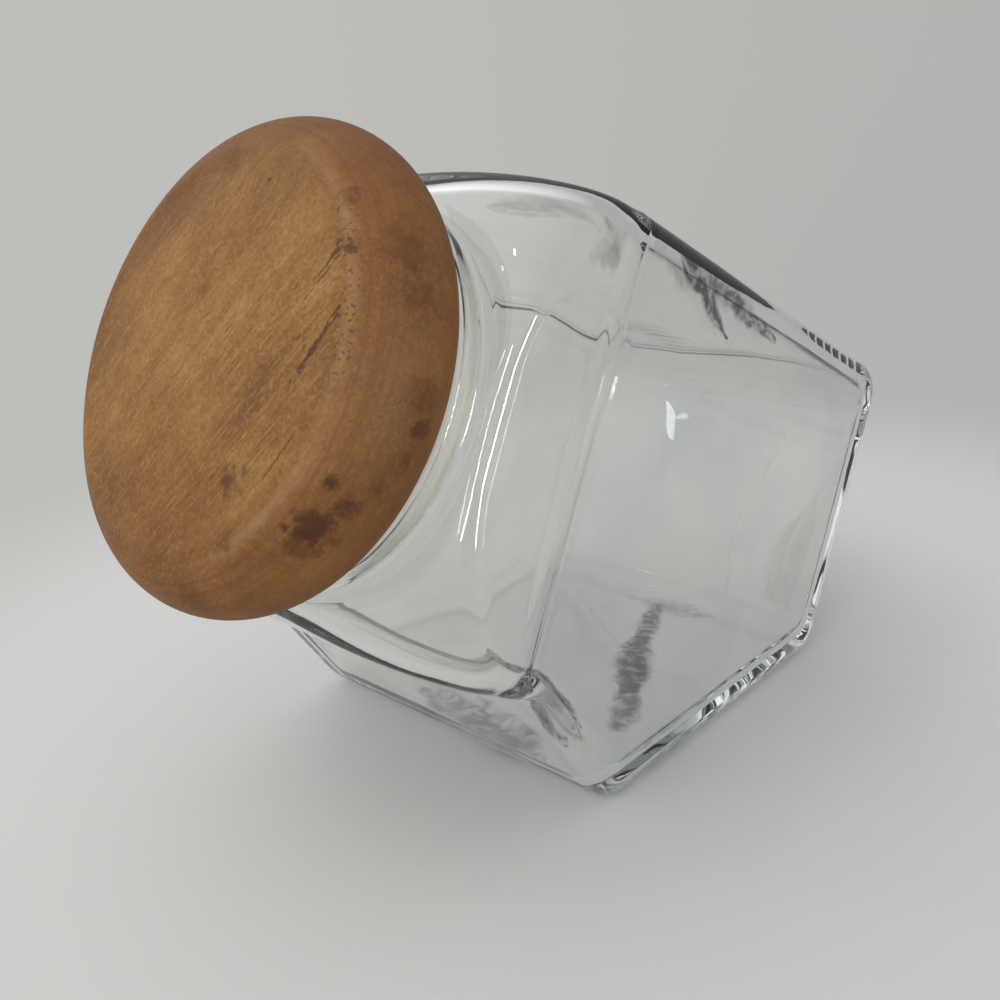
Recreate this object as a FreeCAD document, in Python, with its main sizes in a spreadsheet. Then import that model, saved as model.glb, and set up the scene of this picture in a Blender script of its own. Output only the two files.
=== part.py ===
"""Tilted glass storage jar: a five-sided glass body that leans back, a plastic seal and a wooden lid.

The pieces are modelled in the jar's own frame: +Z runs out through the mouth, +Y runs up the mouth
side and X goes across the jar. Each piece is then tipped about X and lifted, so that the flat base
lies on Z = 0, the mouth faces -Y and the origin is the middle of the whole jar's footprint.
"""
import FreeCAD, Part
import math
import os
import Sketcher

os.makedirs("parts", exist_ok=True)
doc = FreeCAD.newDocument("tilted_jar")

# ------------------------------------------------------------- driving dimensions, mm and degrees
SIZES = {
    "body_width": 117.3,        # across the two flat side panels
    "mouth_height": 117.3,      # mouth side of the body, at the ridge under the shoulder
    "top_depth": 134.65,        # ridge to back panel, along the mouth axis
    "back_height": 90.6,        # back panel, from the top panel down to the base
    "mouth_tilt": 30,           # how far the mouth axis points up from level
    "front_tilt": 30,           # low front panel, measured from the mouth axis
    "panel_round": 6,           # rounding along the rim of each side panel
    "heel_round": 11,           # rounding of the back, base and front corners
    "ridge_land": 0.6,          # straight strip between the front corner and the ridge
    "ridge_band": 4,            # bevelled band that frames the shoulder in front of the ridge
    "ridge_step": 1,            # how far the band comes in from each side panel
    "side_wall": 3.4,
    "top_wall": 3.4,
    "back_wall": 3.6,
    "base_wall": 5,
    "front_wall": 4,
    "inner_panel_round": 6.5,
    "inner_heel_round": 11,
    "shoulder_depth": 31,       # ridge to the foot of the collar
    "shoulder_step": 1.2,       # ledge where the shoulder meets the collar
    "shoulder_wall": 3.4,
    "least_straight": 0.3,      # straight half side that is left in the roundest section
    "bore_relief": 0.6,         # how much wider the hollow shoulder ends than the bore
    "bore_overlap": 2,          # how far the cut for the bore runs past the wall at both ends
    "collar_radius": 49.5,
    "collar_length": 6.5,
    "collar_wall": 3.6,
    "lip_round": 1.6,
    "seal_overhang": 0.5,       # how far the flange stands out past the collar
    "seal_flange": 3.3,         # flange between the lip and the lid
    "seal_groove": 0.9,         # groove round the edge of the flange
    "skirt_depth": 11,          # reach of the seal down the bore
    "skirt_wall": 2.2,
    "fin_reach": 1.5,           # how far a sealing fin stands out of the skirt
    "fin_height": 1.2,
    "bore_clearance": 0.3,
    "boss_clearance": 0.3,
    "boss_depth": 9,            # round boss under the lid, inside the seal
    "boss_chamfer": 1.5,
    "lid_radius": 58,
    "lid_rim": 15.5,            # radius of the rounded rim
    "lid_rise": 12.7,           # underside of the lid to the widest line of its rim
    "lid_crown": 1.6,           # height of the slightly domed face over the rim
}
FIN_COUNT = 3
FIRST_FIN = 0.6                 # gap under the first fin, as a share of the gap between two fins
FIN_SLOPE, FIN_ROOT = 0.6, 1.2  # start of a fin's tip and end of its root, as shares of its height
GROOVE_SHARES = (0.35, 0.45, 0.6, 0.7)  # edges and floor of the groove up the flange
SHOULDER_STEPS = 6              # lofted stretches between the ridge and the collar
SIDE_FULLNESS = 4               # exponent of the shoulder's curve over the middle of a side
CORNER_FULLNESS = 2             # the same over a corner

sheet = doc.addObject("Spreadsheet::Sheet", "dims")
for row, (name, value) in enumerate(SIZES.items(), start=1):
    sheet.set("A%d" % row, name)
    sheet.set("B%d" % row, str(value))
    sheet.setAlias("B%d" % row, name)
doc.recompute()

# Expression text for the places that several pieces share, in the jar's own frame.
LIP = "(dims.shoulder_depth + dims.collar_length)"
SEAT = "(%s + dims.seal_flange)" % LIP
BORE = "(dims.collar_radius - dims.collar_wall)"
SEAL_EDGE = "(dims.collar_radius + dims.seal_overhang)"
SKIRT = "(%s - dims.bore_clearance - dims.fin_reach)" % BORE
SKIRT_INNER = "(%s - dims.skirt_wall)" % SKIRT
LID_MIDDLE = "(%s + dims.lid_rise)" % SEAT
LID_FACE = "(%s + dims.lid_rim)" % LID_MIDDLE
FACE_RADIUS = "(dims.lid_radius - dims.lid_rim)"


# ------------------------------------------------------------- sketch helpers
def new_body(name):
    return doc.addObject("PartDesign::Body", name)


def new_sketch(body, name, role, height="0"):
    """Sketch on one of the body's own origin planes, moved along the plane's normal."""
    sketch = body.newObject("Sketcher::SketchObject", name)
    plane = [item for item in body.Origin.OriginFeatures if item.Role == role][0]
    sketch.AttachmentSupport = [(plane, "")]
    sketch.MapMode = "FlatFace"
    sketch.setExpression("AttachmentOffset.Base.z", height)
    return sketch


def value_of(text):
    """Present value of an expression, used only to draw a sketch near its solved shape."""
    return float(doc.getObject("dims").evalExpression(text))


def drive(sketch, kind, text, *where):
    """Dimension bound to an expression."""
    index = sketch.addConstraint(Sketcher.Constraint(kind, *where, value_of(text)))
    sketch.setExpression("Constraints[%d]" % index, text)


def pin(sketch, item, end, x_text, y_text):
    """Hold one point of an item at a place given by two expressions."""
    drive(sketch, "DistanceX", x_text, -1, 1, item, end)
    drive(sketch, "DistanceY", y_text, -1, 1, item, end)


def outline(sketch, corners):
    """Closed outline of straight lines through corners given as pairs of expressions."""
    points = [FreeCAD.Vector(value_of(x), value_of(y), 0) for x, y in corners]
    lines = []
    for here, there in zip(points, points[1:] + points[:1]):
        lines.append(sketch.addGeometry(Part.LineSegment(here, there), False))
    for line, following in zip(lines, lines[1:] + lines[:1]):
        sketch.addConstraint(Sketcher.Constraint("Coincident", line, 2, following, 1))
    for line, (x_text, y_text) in zip(lines, corners):
        pin(sketch, line, 1, x_text, y_text)


def rounded_rectangle(sketch, half_x, half_y, radius):
    """Rectangle with four equal corner arcs, centred on the sketch's origin."""
    x, y, r = value_of(half_x), value_of(half_y), value_of(radius)
    arcs = []
    for quarter, (sign_x, sign_y) in enumerate(((1, 1), (-1, 1), (-1, -1), (1, -1))):
        centre = FreeCAD.Vector(sign_x * (x - r), sign_y * (y - r), 0)
        circle = Part.Circle(centre, FreeCAD.Vector(0, 0, 1), r)
        start = quarter * math.pi / 2
        arc = sketch.addGeometry(Part.ArcOfCircle(circle, start, start + math.pi / 2), False)
        pin(sketch, arc, 3, "%d * (%s - %s)" % (sign_x, half_x, radius),
            "%d * (%s - %s)" % (sign_y, half_y, radius))
        arcs.append(arc)
    drive(sketch, "Radius", radius, arcs[0])
    for arc in arcs[1:]:
        sketch.addConstraint(Sketcher.Constraint("Equal", arcs[0], arc))
    for arc, following in zip(arcs, arcs[1:] + arcs[:1]):
        ends = [sketch.getPoint(arc, 2), sketch.getPoint(following, 1)]
        side = sketch.addGeometry(Part.LineSegment(*ends), False)
        sketch.addConstraint(Sketcher.Constraint("Tangent", arc, 2, side, 1))
        sketch.addConstraint(Sketcher.Constraint("Tangent", side, 2, following, 1))


def circle_sketch(body, name, height, radius):
    sketch = new_sketch(body, name, "XY_Plane", height)
    shape = Part.Circle(FreeCAD.Vector(0, 0, 0), FreeCAD.Vector(0, 0, 1), value_of(radius))
    ring = sketch.addGeometry(shape, False)
    sketch.addConstraint(Sketcher.Constraint("Coincident", ring, 3, -1, 1))
    drive(sketch, "Radius", radius, ring)
    return sketch


# ------------------------------------------------------------- feature helpers
def pad(body, name, sketch, length, both_ways=False):
    feature = body.newObject("PartDesign::Pad", name)
    feature.Profile = sketch
    feature.Midplane = both_ways
    feature.setExpression("Length", length)
    return feature


def loft(body, name, sections, ruled=False):
    feature = body.newObject("PartDesign::AdditiveLoft", name)
    feature.Profile = sections[0]
    feature.Sections = sections[1:]
    feature.Ruled = ruled
    return feature


def revolve(body, name, sketch):
    """Full turn of a profile about the mouth axis."""
    feature = body.newObject("PartDesign::Revolution", name)
    feature.Profile = sketch
    feature.ReferenceAxis = (sketch, ["V_Axis"])
    feature.Angle = 360
    return feature


def fillet(body, name, base, radius, wanted):
    """Round the edges of a feature that a test picks out by their place."""
    doc.recompute()
    names = ["Edge%d" % (number + 1) for number, edge in enumerate(base.Shape.Edges) if wanted(edge)]
    feature = body.newObject("PartDesign::Fillet", name)
    feature.Base = (base, names)
    feature.setExpression("Radius", radius)
    return feature


# ------------------------------------------------------------- glass: outside and hollow
def prism_corners(top, bottom, back, base_y, front_z):
    """Side view of the body as (Y, Z) corners.

    The base leaves the back panel at base_y and the low front panel leaves the mouth side at front_z;
    the two meet in the nose.
    """
    slopes = "(tan(dims.mouth_tilt) + tan(dims.front_tilt))"
    rises = "((%s) * tan(dims.mouth_tilt) + (%s) * tan(dims.front_tilt))" % (back, front_z)
    nose_z = "((%s - (%s) + %s) / %s)" % (base_y, bottom, rises, slopes)
    nose_y = "(%s - (%s - (%s)) * tan(dims.mouth_tilt))" % (base_y, nose_z, back)
    return [(top, "0"), (top, back), (base_y, back), (nose_y, nose_z), (bottom, front_z), (bottom, "0")]


def shoulder_section(share, half_x, half_y, end_radius, corner_radius):
    """Half sizes and corner radius of the shoulder at a share of its depth.

    Over the middle of a side and over a corner the shoulder follows two superellipses, so it leaves
    the ridge as a rounded square, swells forward and comes in to a full round at the collar.
    """
    side = (1 - share ** SIDE_FULLNESS) ** (1 / SIDE_FULLNESS)
    corner = (1 - share ** CORNER_FULLNESS) ** (1 / CORNER_FULLNESS)
    x = "(%s + (%s - %s) * %.5f)" % (end_radius, half_x, end_radius, side)
    y = "(%s + (%s - %s) * %.5f)" % (end_radius, half_y, end_radius, side)
    reach = "(sqrt(%s ^ 2 + %s ^ 2) - %s * (sqrt(2) - 1))" % (half_x, half_y, corner_radius)
    diagonal = "(%s + (%s - %s) * %.5f)" % (end_radius, reach, end_radius, corner)
    radius = "((sqrt(%s ^ 2 + %s ^ 2) - %s) / (sqrt(2) - 1))" % (x, y, diagonal)
    straight = "dims.least_straight"
    return x, y, "min(%s; %s - %s; %s - %s)" % (radius, x, straight, y, straight)


def glass_form(name, corners, half_x, half_y, panel_round, heel_round, depth, end_radius):
    """Prism with rounded corners and the shoulder lofted on its mouth side."""
    body = new_body(name)
    side_view = new_sketch(body, name + "_side_view", "YZ_Plane")
    outline(side_view, corners)
    block = pad(body, name + "_block", side_view, "2 * %s" % half_x, both_ways=True)

    def is_heel(edge):
        level = edge.Vertexes[0].Z
        return abs(edge.Vertexes[0].X - edge.Vertexes[1].X) > 1 and level < -0.01

    heels = fillet(body, name + "_heels", block, heel_round, is_heel)
    limit = value_of(half_x)

    def is_panel_rim(edge):
        on_panel = all(abs(abs(vertex.X) - limit) < 0.001 for vertex in edge.Vertexes)
        one_side = edge.Vertexes[0].X * edge.Vertexes[-1].X > 0
        return on_panel and one_side and edge.BoundBox.ZMin < -0.01

    fillet(body, name + "_rims", heels, panel_round, is_panel_rim)

    ridge = new_sketch(body, name + "_ridge", "XY_Plane")
    rounded_rectangle(ridge, half_x, half_y, panel_round)
    stepped_x = "(%s - dims.ridge_step)" % half_x
    sections = []
    for step in range(SHOULDER_STEPS + 1):
        share = math.sin(math.pi / 2 * step / SHOULDER_STEPS)
        height = "dims.ridge_band + (%s - dims.ridge_band) * %.5f" % (depth, share)
        section = new_sketch(body, "%s_section_%d" % (name, step), "XY_Plane", height)
        rounded_rectangle(section, *shoulder_section(share, stepped_x, half_y, end_radius, panel_round))
        sections.append(section)
    loft(body, name + "_band", [ridge, sections[0]], ruled=True)
    loft(body, name + "_shoulder", sections)
    return body


def make_jar():
    half_x, half_y = "(dims.body_width / 2)", "(dims.mouth_height / 2)"
    back = "(-1 * dims.top_depth)"
    base_y = "(%s - dims.back_height)" % half_y
    front_z = "(-1 * dims.heel_round * tan(dims.front_tilt / 2) - dims.ridge_land)"
    outside = glass_form(
        "outside", prism_corners(half_y, "-1 * %s" % half_y, back, base_y, front_z), half_x, half_y,
        "dims.panel_round", "dims.heel_round", "dims.shoulder_depth",
        "(dims.collar_radius + dims.shoulder_step)")
    foot = "(dims.shoulder_depth - dims.shoulder_wall / 2)"     # inside the wall, so the two join
    collar = circle_sketch(outside, "collar_circle", foot, "dims.collar_radius")
    collar_pad = pad(outside, "collar", collar, "%s - %s" % (LIP, foot))
    fillet(outside, "lip", collar_pad, "dims.lip_round", lambda edge: is_ring_at(edge, value_of(LIP)))

    inner_x, inner_y = "(%s - dims.side_wall)" % half_x, "(%s - dims.top_wall)" % half_y
    inner_back = "(%s + dims.back_wall)" % back
    inner_base_y = "(%s - dims.back_wall * tan(dims.mouth_tilt) + %s)" % (
        base_y, "dims.base_wall / cos(dims.mouth_tilt)")
    inner_front_z = "(%s + (dims.top_wall - %s) / tan(dims.front_tilt))" % (
        front_z, "dims.front_wall / cos(dims.front_tilt)")
    hollow = glass_form(
        "hollow", prism_corners(inner_y, "-1 * %s" % inner_y, inner_back, inner_base_y, inner_front_z),
        inner_x, inner_y, "dims.inner_panel_round", "dims.inner_heel_round",
        "(dims.shoulder_depth - dims.shoulder_wall)", "(%s + dims.bore_relief)" % BORE)
    bore_foot = "(dims.shoulder_depth - dims.shoulder_wall - dims.bore_overlap)"
    bore = circle_sketch(hollow, "bore_circle", bore_foot, BORE)
    pad(hollow, "bore", bore, "%s - %s + dims.bore_overlap" % (LIP, bore_foot))

    jar = doc.addObject("Part::Cut", "jar")
    jar.Base = outside
    jar.Tool = hollow
    return jar


def is_ring_at(edge, height):
    return edge.BoundBox.ZMin > height - 0.01 and edge.BoundBox.ZMax < height + 0.01


# ------------------------------------------------------------- seal: flange, skirt and fins
def make_seal():
    """Ring of soft plastic: a grooved flange on the lip and a skirt with fins down the bore."""
    body = new_body("seal")
    profile = new_sketch(body, "seal_profile", "YZ_Plane")
    skirt_end = "(%s - dims.skirt_depth)" % LIP
    groove = "(%s - dims.seal_groove)" % SEAL_EDGE
    corners = [
        (SKIRT_INNER, skirt_end),
        (SKIRT, skirt_end),
    ]
    tip = "(%s + dims.fin_reach)" % SKIRT
    for fin in range(FIN_COUNT):
        place = (fin + FIRST_FIN) / (FIN_COUNT + FIRST_FIN)
        foot = "(%s + dims.skirt_depth * %.4f)" % (skirt_end, place)
        corners += [
            (SKIRT, foot),
            (tip, "(%s + dims.fin_height * %.2f)" % (foot, FIN_SLOPE)),
            (tip, "(%s + dims.fin_height)" % foot),
            (SKIRT, "(%s + dims.fin_height * %.2f)" % (foot, FIN_ROOT)),
        ]
    corners += [
        (SKIRT, LIP),
        (SEAL_EDGE, LIP),
    ]
    for x, share in zip((SEAL_EDGE, groove, groove, SEAL_EDGE), GROOVE_SHARES):
        corners.append((x, "(%s + dims.seal_flange * %.2f)" % (LIP, share)))
    corners += [
        (SEAL_EDGE, SEAT),
        (SKIRT_INNER, SEAT),
    ]
    outline(profile, corners)
    revolve(body, "seal_turn", profile)
    return body


# ------------------------------------------------------------- lid: turned wooden disc with a boss
def make_lid():
    body = new_body("lid")
    profile = new_sketch(body, "lid_profile", "YZ_Plane")
    boss = "(%s - dims.boss_clearance)" % SKIRT_INNER
    boss_end = "(%s - dims.boss_depth)" % SEAT
    rim_foot = "(%s + sqrt(dims.lid_rim ^ 2 - dims.lid_rise ^ 2))" % FACE_RADIUS
    crown = "(%s + dims.lid_crown)" % LID_FACE
    corners = [
        ("0", crown),
        ("0", boss_end),
        ("(%s - dims.boss_chamfer)" % boss, boss_end),
        (boss, "(%s + dims.boss_chamfer)" % boss_end),
        (boss, SEAT),
        (rim_foot, SEAT),
    ]
    points = [FreeCAD.Vector(value_of(x), value_of(y), 0) for x, y in corners]
    lines = [profile.addGeometry(Part.LineSegment(here, there), False)
             for here, there in zip(points, points[1:])]
    for line, following in zip(lines, lines[1:]):
        profile.addConstraint(Sketcher.Constraint("Coincident", line, 2, following, 1))
    for line, (x_text, y_text) in zip(lines, corners):
        pin(profile, line, 1, x_text, y_text)
    drive(profile, "DistanceY", SEAT, -1, 1, lines[-1], 2)

    # rim: one arc from the underside out over the widest line and up to the face
    centre = FreeCAD.Vector(value_of(FACE_RADIUS), value_of(LID_MIDDLE), 0)
    circle = Part.Circle(centre, FreeCAD.Vector(0, 0, 1), value_of("dims.lid_rim"))
    start = -math.asin(value_of("dims.lid_rise / dims.lid_rim"))
    rim = profile.addGeometry(Part.ArcOfCircle(circle, start, math.pi / 2), False)
    pin(profile, rim, 3, FACE_RADIUS, LID_MIDDLE)
    drive(profile, "Radius", "dims.lid_rim", rim)
    drive(profile, "DistanceX", FACE_RADIUS, -1, 1, rim, 2)
    profile.addConstraint(Sketcher.Constraint("Coincident", lines[-1], 2, rim, 1))

    # face: a shallow dome from the rim to the axis
    radius = "((%s ^ 2 + dims.lid_crown ^ 2) / (2 * dims.lid_crown))" % FACE_RADIUS
    centre = FreeCAD.Vector(0, value_of("%s - %s" % (crown, radius)), 0)
    circle = Part.Circle(centre, FreeCAD.Vector(0, 0, 1), value_of(radius))
    start = math.acos(value_of("%s / %s" % (FACE_RADIUS, radius)))
    face = profile.addGeometry(Part.ArcOfCircle(circle, start, math.pi / 2), False)
    profile.addConstraint(Sketcher.Constraint("Coincident", rim, 2, face, 1))
    profile.addConstraint(Sketcher.Constraint("Coincident", face, 2, lines[0], 1))
    drive(profile, "Radius", radius, face)
    revolve(body, "lid_turn", profile)
    return body


# ------------------------------------------------------------- placing, checking and writing
def set_down(piece):
    """Tip a piece back and set the jar's base on Z = 0 over the middle of its footprint."""
    lift = "%s - %s" % (
        "dims.top_depth * sin(dims.mouth_tilt)",
        "(dims.mouth_height / 2 - dims.back_height) * cos(dims.mouth_tilt)")
    front = "(%s * cos(dims.mouth_tilt) + %s * sin(dims.mouth_tilt) + dims.lid_rim)" % (
        LID_MIDDLE, FACE_RADIUS)
    back = "(%s - %s - dims.heel_round)" % (
        "(dims.heel_round - dims.top_depth) * cos(dims.mouth_tilt)",
        "(dims.mouth_height / 2 - dims.heel_round) * sin(dims.mouth_tilt)")
    piece.Placement = FreeCAD.Placement(FreeCAD.Vector(), FreeCAD.Rotation(FreeCAD.Vector(1, 0, 0), 60))
    piece.setExpression("Placement.Rotation.Angle", "90 - dims.mouth_tilt")
    piece.setExpression("Placement.Base.y", "(%s + %s) / 2" % (front, back))
    piece.setExpression("Placement.Base.z", lift)


pieces = [make_jar(), make_seal(), make_lid()]
for piece in pieces:
    piece.Label = piece.Name
    set_down(piece)
doc.recompute()

for item in doc.Objects:
    if "Invalid" in item.State or "Error" in item.State:
        raise RuntimeError("%s did not rebuild: %s" % (item.Label, item.State))
for piece in pieces:
    shape = piece.Shape
    if shape.isNull() or not shape.isValid() or len(shape.Solids) != 1:
        raise RuntimeError("%s is not one valid solid" % piece.Label)
for piece in pieces:
    piece.Shape.exportStep("parts/%s.step" % piece.Label)
    box = piece.Shape.BoundBox
    print("%-6s %8.1f cm3  X %.1f..%.1f  Y %.1f..%.1f  Z %.1f..%.1f" % (
        piece.Label, piece.Shape.Volume / 1000, box.XMin, box.XMax, box.YMin, box.YMax, box.ZMin, box.ZMax))
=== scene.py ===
"""Tilted glass storage jar with a plastic seal and a wooden lid: its looks around the CAD part.

Shapes are worked out in the jar's own frame, in millimetres: m runs out through the mouth, p runs up
the mouth side and x goes across. to_world() tips them into the part's frame, in metres. Materials,
lamps and the camera are placed in the part's frame.
"""

import math

import bmesh
import bpy
import numpy as np
from mathutils import Matrix, Vector, noise


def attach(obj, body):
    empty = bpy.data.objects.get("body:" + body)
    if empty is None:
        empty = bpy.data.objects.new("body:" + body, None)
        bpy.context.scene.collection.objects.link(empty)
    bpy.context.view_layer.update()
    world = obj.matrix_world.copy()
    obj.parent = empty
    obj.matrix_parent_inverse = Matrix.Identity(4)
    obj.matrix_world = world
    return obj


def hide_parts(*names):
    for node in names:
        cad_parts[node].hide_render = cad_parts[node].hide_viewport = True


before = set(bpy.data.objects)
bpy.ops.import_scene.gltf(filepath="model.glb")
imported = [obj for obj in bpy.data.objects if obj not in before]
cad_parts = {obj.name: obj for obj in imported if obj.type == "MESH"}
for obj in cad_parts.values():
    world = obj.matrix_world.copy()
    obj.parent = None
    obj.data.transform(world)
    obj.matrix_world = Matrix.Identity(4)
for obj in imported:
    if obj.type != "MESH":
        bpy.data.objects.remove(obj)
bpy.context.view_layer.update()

# ------------------------------------------------------------- sizes of the glass, mm
TILT = math.radians(30)     # how far the mouth's axis rises
COS, SIN, LEAN = math.cos(TILT), math.sin(TILT), math.tan(TILT)
HALF = 58.65                # half the body's width and half its mouth side
BACK = -134.65              # level of the back panel
BACK_HEIGHT = 90.6          # from the top panel down to the base, at the back
RIM, HEEL = 6.0, 11.0       # roundings of the side panels and of the long corners
WALL_SIDE, WALL_TOP, WALL_BACK, WALL_BASE, WALL_FRONT = 3.4, 3.4, 3.6, 5.0, 4.0
INNER_RIM, INNER_HEEL = 6.5, 11.0
RIDGE_LAND, RIDGE_BAND, RIDGE_STEP = 0.6, 4.0, 1.0      # strip behind the crest, band before it, its step in
SHOULDER_DEPTH, SHOULDER_STEP, SHOULDER_WALL = 31.0, 1.2, 3.4
COLLAR_RADIUS, COLLAR_WALL = 49.5, 3.6
LIP, LIP_ROUND = 37.5, 1.6
BORE_STEP = 0.4             # the hollow's shoulder ends this far outside the bore
BORE_LEVELS = (28.5, 31.0, 33.5)
COLLAR_FOOT = [(0.0, 33.5), (0.15, 31.9), (0.6, 31.2)]      # (step out, level) of the flare at the foot

# The ridge in front of the side panels: "falls" are (share of the band, share of its step) on the
# shoulder's side, "dips" are (level, depth) of the hollow behind the crest, and "panels" is the level
# from which the panels are plain. Outside, the crest stands up as a fine bead.
OUTER_RIDGE = {
    "falls": [(0.75, 0.84), (0.5, 0.63), (0.25, 0.40), (0.11, 0.22), (0.04, 0.09)],
    "dips": [(-0.15, 0.05), (-0.40, 0.12), (-0.80, 0.17), (-1.40, 0.14), (-2.20, 0.07)],
    "panels": -3.4}
INNER_RIDGE = {"falls": [(0.75, 0.75), (0.5, 0.5), (0.25, 0.25)], "dips": [], "panels": -0.4}

# ------------------------------------------------------------- sizes of the lid, mm
LID_RADIUS, LID_RIM, LID_MIDDLE, LID_CROWN = 58.0, 15.5, 53.5, 1.6
RIM_INSET = 0.04            # the rim lies this far inside its full size, so that it stays in the CAD box
RIM_FOOT = -0.96            # turn, in radians, at which the rim meets the seat
WORN_FROM, WORN_BULGE = math.radians(66), 0.028     # the rim bends tighter at the worn edge round the face
SEAT, SEAT_RADII = 40.8, (50.6, 46.0)
BOSS_RADIUS, BOSS_END, BOSS_CHAMFER, BOSS_ROOT = 41.6, 31.8, 1.5, 0.6
BOSS_MIDDLE, BOSS_FACE_RADII = 36.0, (30.0, 15.0)

# where the jar's frame lies in the part's frame: the whole is centred in y and rests on z = 0
SHIFT_Y = ((LID_MIDDLE + HEEL + BACK) * COS + LID_RIM - HEEL + (LID_RADIUS - LID_RIM - HALF + HEEL) * SIN) / 2
LIFT_Z = -BACK * SIN - (HALF - BACK_HEIGHT) * COS

# ------------------------------------------------------------- fineness of the meshes
N_FLAT, N_CORNER, N_SIDE = 18, 12, 36       # steps over half a panel, round a corner and down a side
N_HALF = 2 * N_FLAT + 2 * N_CORNER + N_SIDE
N_ARC = 40                                  # steps of a fine outline's corner
N_LIP = 5                                   # rings of the lip's inner rounding; the outer has one more
SHOULDER_RINGS, FACE_RINGS, RIM_RINGS = 30, 14, 40
# levels to the hollow under the shoulder, down the low front, round the nose and along the base
VALLEY_RINGS, FRONT_RINGS, NOSE_RINGS, BASE_RINGS = 9, 9, 13, 18
BACK_TURNS = np.radians([7, 14, 21, 28, 35, 42, 49, 56, 62, 68, 74, 79, 83, 87])
BACK_SCALES = (0.93, 0.84, 0.72, 0.58, 0.44, 0.3, 0.16, 0.06)

# ------------------------------------------------------------- unevenness of the glass
SLOW_WAVES, SLOW_START = 26, Vector((3.1, 0.4, 7.7))        # waves per metre
QUICK_WAVES, QUICK_START = 75, Vector((0.7, 5.2, 1.9))
INNER_SLOW, INNER_QUICK = 0.00036, 0.00005                  # metres
OUTER_SLOW, OUTER_QUICK = 0.00006, 0.00002
REST_HEIGHT, REST_FADE = 0.001, 0.004       # the outside stays true up to this height, and fades in above


def to_world(points):
    """Points (x, p, m) in mm as rows of world coordinates in metres."""
    x, p, m = np.asarray(points, float).T
    y = -COS * m + SIN * p + SHIFT_Y
    z = SIN * m + COS * p + LIFT_Z
    return np.stack([x, y, z], axis=1) / 1000


# ------------------------------------------------------------- outlines and rings
def side_view(half_y, back, base_p, front_m, heel):
    """Side view of a body form: its lines, and the centres of its rounded corners."""
    nose_m = (base_p + half_y + back * LEAN + front_m * LEAN) / (2 * LEAN)
    nose_p = base_p - (nose_m - back) * LEAN
    return {
        "half": half_y, "back": back, "heel": heel, "base_p": base_p, "front_m": front_m,
        "top_centre": (back + heel, half_y - heel),
        "heel_centre": (back + heel, base_p - heel * LEAN + heel / COS),
        "nose_centre": (nose_m, nose_p + heel / COS),
        "valley_centre": (front_m + heel * math.tan(TILT / 2), -half_y - heel),
    }


def low_line(view, m, inset):
    """Lower outline of the side view at m, moved in by inset."""
    small, large = view["heel"] - inset, view["heel"] + inset
    heel_m, heel_p = view["heel_centre"]
    nose_m, nose_p = view["nose_centre"]
    valley_m, valley_p = view["valley_centre"]
    if m < heel_m - small * SIN:
        return heel_p - math.sqrt(max(small ** 2 - (m - heel_m) ** 2, 0))
    if m < nose_m - small * SIN:
        return view["base_p"] - (m - view["back"]) * LEAN + inset / COS
    if m < nose_m + small * SIN:
        return nose_p - math.sqrt(max(small ** 2 - (m - nose_m) ** 2, 0))
    if m < valley_m - large * SIN:
        return -view["half"] + (m - view["front_m"]) * LEAN + inset / COS
    if m < valley_m:
        return valley_p + math.sqrt(max(large ** 2 - (m - valley_m) ** 2, 0))
    return -view["half"] + inset


def high_line(view, m, inset):
    """Upper outline of the side view at m, moved in by inset."""
    radius = view["heel"] - inset
    centre_m, centre_p = view["top_centre"]
    if m < centre_m:
        return centre_p + math.sqrt(max(radius ** 2 - (m - centre_m) ** 2, 0))
    return view["half"] - inset


def body_half(view, half_x, rim, m):
    """+x half of the body's outline at m, from the middle of the top panel to the middle of the base."""
    deepest = min(rim, m - view["back"])
    widest = math.acos(1 - deepest / rim)
    flat = half_x - rim
    half = [(flat * i / N_FLAT, high_line(view, m, 0)) for i in range(N_FLAT)]
    corner = []
    for i in range(N_CORNER):
        turn = widest * i / N_CORNER
        corner.append((flat + rim * math.sin(turn), rim * (1 - math.cos(turn))))
    half += [(x, high_line(view, m, inset)) for x, inset in corner]
    edge_x = flat + rim * math.sin(widest)
    top, bottom = high_line(view, m, deepest), low_line(view, m, deepest)
    half += [(edge_x, top + (bottom - top) * i / N_SIDE) for i in range(N_SIDE)]
    half.append((edge_x, bottom))
    half += [(x, low_line(view, m, inset)) for x, inset in corner[:0:-1]]
    half += [(flat * (1 - i / N_FLAT), low_line(view, m, 0)) for i in range(N_FLAT + 1)]
    return half


def mirrored(half, m):
    """Whole ring at m from its +x half, as (x, p, m) rows."""
    other = [(-x, p) for x, p in half[-2:0:-1]]
    return [(x, p, m) for x, p in half + other]


def circle_ring(radius, m):
    """Round ring at m, with as many points as the body's rings have."""
    half = [(radius * math.sin(math.pi * i / N_HALF), radius * math.cos(math.pi * i / N_HALF))
            for i in range(N_HALF + 1)]
    return mirrored(half, m)


def rounded_half(half_x, half_y, radius):
    """+x half of a rounded rectangle as a fine line, from the top middle to the bottom middle."""
    line = [(0.0, half_y)]
    for i in range(N_ARC + 1):
        turn = math.pi / 2 * i / N_ARC
        line.append((half_x - radius + radius * math.sin(turn), half_y - radius + radius * math.cos(turn)))
    return line + [(x, -p) for x, p in line[::-1]]


def shares_of(line):
    """How far along a line each of its points lies, from 0 to 1."""
    steps = np.hypot(*np.diff(np.array(line), axis=0).T)
    return np.concatenate([[0], np.cumsum(steps)]) / steps.sum()


def spread(line, shares):
    """Points at given shares of a line's length."""
    along = shares_of(line)
    xs, ps = np.array(line).T
    return [(float(np.interp(share, along, xs)), float(np.interp(share, along, ps))) for share in shares]


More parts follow.
